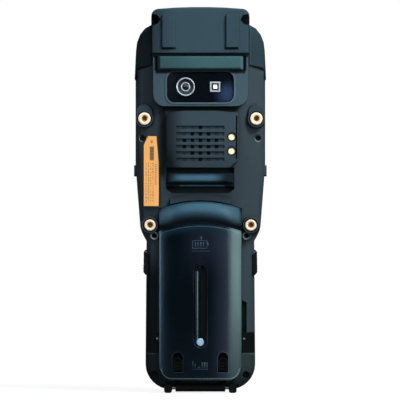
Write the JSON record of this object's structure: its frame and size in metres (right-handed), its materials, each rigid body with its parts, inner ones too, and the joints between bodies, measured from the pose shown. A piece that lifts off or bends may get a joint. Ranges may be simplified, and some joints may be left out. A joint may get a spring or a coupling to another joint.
{
  "type": "portable barcode data terminal",
  "caption": "Rugged hand-held data terminal with scan head, rear camera, speaker, keypad, lift-out battery and hinged port covers.",
  "frame": {"origin": "on the standing plane under the lower end, in the middle of the width and the depth", "axes": "+Z along the length towards the scan head, +Y out of the display side, -Y out of the battery side, +X to the right when the battery side is seen"},
  "size_m": [0.0704, 0.035, 0.204],
  "materials": {
    "housing_plastic": "fine grained near-black blue plastic",
    "bumper_plastic": "fine grained dark blue-grey plastic",
    "battery_plastic": "satin black",
    "key_plastic": "satin dark grey",
    "scan_key_plastic": "satin orange",
    "cover_rubber": "soft black",
    "seal_rubber": "soft red",
    "bar_steel": "painted blue-grey",
    "insert_brass": "turned",
    "gold_contact": "gold plated",
    "screw_steel": "blackened",
    "pin_steel": "ground",
    "label_film": "orange film",
    "window_glass": "black glossy window",
    "lens_glass": "coated",
    "ring_metal": "satin",
    "lens_pale": "pale translucent",
    "mesh_black": "woven",
    "module_grey": "moulded",
    "board_green": "lacquered board",
    "display_metal": "satin",
    "cell_wrap": "shrink wrap"
  },
  "bodies": {
    "housing": {"back_housing": "housing_plastic", "front_housing": "housing_plastic", "bottom_bumper": "bumper_plastic", "head_cap": "bumper_plastic", "housing_seal": "seal_rubber", "cap_pads": "bumper_plastic", "scan_window": "window_glass", "scan_engine": "module_grey", "window_visor": "bumper_plastic", "camera_frame": "housing_plastic", "camera_window": "window_glass", "camera_ring": "ring_metal", "camera_lens": "lens_glass", "flash_led": "ring_metal", "speaker_panel": "bumper_plastic", "speaker_mesh": "mesh_black", "speaker_driver": "module_grey", "grip_contacts": "gold_contact", "threaded_inserts": "insert_brass", "housing_screws": "screw_steel", "rating_label": "label_film", "strap_bar": "bar_steel", "dock_connector": "module_grey", "hinge_pins": "pin_steel", "usb_socket": "pin_steel", "audio_socket": "module_grey", "side_switches": "module_grey", "main_board": "board_green", "display_module": "display_metal", "cover_glass": "window_glass", "keypad_mat": "cover_rubber", "battery_contacts": "gold_contact", "indicator_lens": "lens_pale"},
    "battery": {"battery_shell": "battery_plastic", "battery_base": "battery_plastic", "battery_cells": "cell_wrap", "battery_pads": "gold_contact", "charge_lens": "lens_pale"},
    "latch_left": {"latch_left": "battery_plastic"},
    "latch_right": {"latch_right": "battery_plastic"},
    "side_key_left": {"side_key_left": "key_plastic"},
    "side_key_right": {"side_key_right": "key_plastic"},
    "side_cover_left": {"side_cover_left": "cover_rubber"},
    "side_cover_right": {"side_cover_right": "cover_rubber"},
    "connector_cover": {"connector_cover": "cover_rubber"},
    "scan_key": {"scan_key": "scan_key_plastic"},
    "nav_rocker": {"nav_rocker": "key_plastic"},
    "key_7": {"key_7": "key_plastic"},
    "key_8": {"key_8": "key_plastic"},
    "key_9": {"key_9": "key_plastic"},
    "key_4": {"key_4": "key_plastic"},
    "key_5": {"key_5": "key_plastic"},
    "key_6": {"key_6": "key_plastic"},
    "key_1": {"key_1": "key_plastic"},
    "key_2": {"key_2": "key_plastic"},
    "key_3": {"key_3": "key_plastic"},
    "key_left": {"key_left": "key_plastic"},
    "key_0": {"key_0": "key_plastic"},
    "key_right": {"key_right": "key_plastic"}
  },
  "joints": [
    {"name": "battery_lift", "type": "slide", "parent": "housing", "child": "battery", "axis": [0, -1, 0], "range_m": [0, 0.02]},
    {"name": "latch_left_slide", "type": "slide", "parent": "battery", "child": "latch_left", "axis": [0, 0, 1], "range_m": [0, 0.0024], "stiffness_N_per_m": 150, "springref_m": -0.002},
    {"name": "latch_right_slide", "type": "slide", "parent": "battery", "child": "latch_right", "axis": [0, 0, 1], "range_m": [0, 0.0024], "stiffness_N_per_m": 150, "springref_m": -0.002},
    {"name": "side_key_left_press", "type": "slide", "parent": "housing", "child": "side_key_left", "axis": [1, 0, 0], "range_m": [0, 0.0008], "stiffness_N_per_m": 200, "springref_m": -0.001},
    {"name": "side_key_right_press", "type": "slide", "parent": "housing", "child": "side_key_right", "axis": [-1, 0, 0], "range_m": [0, 0.0008], "stiffness_N_per_m": 200, "springref_m": -0.001},
    {"name": "side_cover_left_hinge", "type": "hinge", "parent": "housing", "child": "side_cover_left", "pos_m": [-0.0287, 0.004, 0.0746], "axis": [0, 1, 0], "range_deg": [0, 95]},
    {"name": "side_cover_right_hinge", "type": "hinge", "parent": "housing", "child": "side_cover_right", "pos_m": [0.0287, 0.004, 0.0746], "axis": [0, -1, 0], "range_deg": [0, 95]},
    {"name": "connector_cover_hinge", "type": "hinge", "parent": "housing", "child": "connector_cover", "pos_m": [0, -0.0086, 0.0026], "axis": [-1, 0, 0], "range_deg": [0, 105]},
    {"name": "scan_key_press", "type": "slide", "parent": "housing", "child": "scan_key", "axis": [0, -1, 0], "range_m": [0, 0.0007], "stiffness_N_per_m": 200, "springref_m": -0.001},
    {"name": "nav_rocker_tilt", "type": "hinge", "parent": "housing", "child": "nav_rocker", "pos_m": [0, 0.014, 0.0583], "axis": [1, 0, 0], "range_deg": [-2.5, 2.5], "stiffness_Nm_per_rad": 0.02},
    {"name": "key_7_press", "type": "slide", "parent": "housing", "child": "key_7", "axis": [0, -1, 0], "range_m": [0, 0.0007], "stiffness_N_per_m": 200, "springref_m": -0.001},
    {"name": "key_8_press", "type": "slide", "parent": "housing", "child": "key_8", "axis": [0, -1, 0], "range_m": [0, 0.0007], "stiffness_N_per_m": 200, "springref_m": -0.001},
    {"name": "key_9_press", "type": "slide", "parent": "housing", "child": "key_9", "axis": [0, -1, 0], "range_m": [0, 0.0007], "stiffness_N_per_m": 200, "springref_m": -0.001},
    {"name": "key_4_press", "type": "slide", "parent": "housing", "child": "key_4", "axis": [0, -1, 0], "range_m": [0, 0.0007], "stiffness_N_per_m": 200, "springref_m": -0.001},
    {"name": "key_5_press", "type": "slide", "parent": "housing", "child": "key_5", "axis": [0, -1, 0], "range_m": [0, 0.0007], "stiffness_N_per_m": 200, "springref_m": -0.001},
    {"name": "key_6_press", "type": "slide", "parent": "housing", "child": "key_6", "axis": [0, -1, 0], "range_m": [0, 0.0007], "stiffness_N_per_m": 200, "springref_m": -0.001},
    {"name": "key_1_press", "type": "slide", "parent": "housing", "child": "key_1", "axis": [0, -1, 0], "range_m": [0, 0.0007], "stiffness_N_per_m": 200, "springref_m": -0.001},
    {"name": "key_2_press", "type": "slide", "parent": "housing", "child": "key_2", "axis": [0, -1, 0], "range_m": [0, 0.0007], "stiffness_N_per_m": 200, "springref_m": -0.001},
    {"name": "key_3_press", "type": "slide", "parent": "housing", "child": "key_3", "axis": [0, -1, 0], "range_m": [0, 0.0007], "stiffness_N_per_m": 200, "springref_m": -0.001},
    {"name": "key_left_press", "type": "slide", "parent": "housing", "child": "key_left", "axis": [0, -1, 0], "range_m": [0, 0.0007], "stiffness_N_per_m": 200, "springref_m": -0.001},
    {"name": "key_0_press", "type": "slide", "parent": "housing", "child": "key_0", "axis": [0, -1, 0], "range_m": [0, 0.0007], "stiffness_N_per_m": 200, "springref_m": -0.001},
    {"name": "key_right_press", "type": "slide", "parent": "housing", "child": "key_right", "axis": [0, -1, 0], "range_m": [0, 0.0007], "stiffness_N_per_m": 200, "springref_m": -0.001}
  ]
}
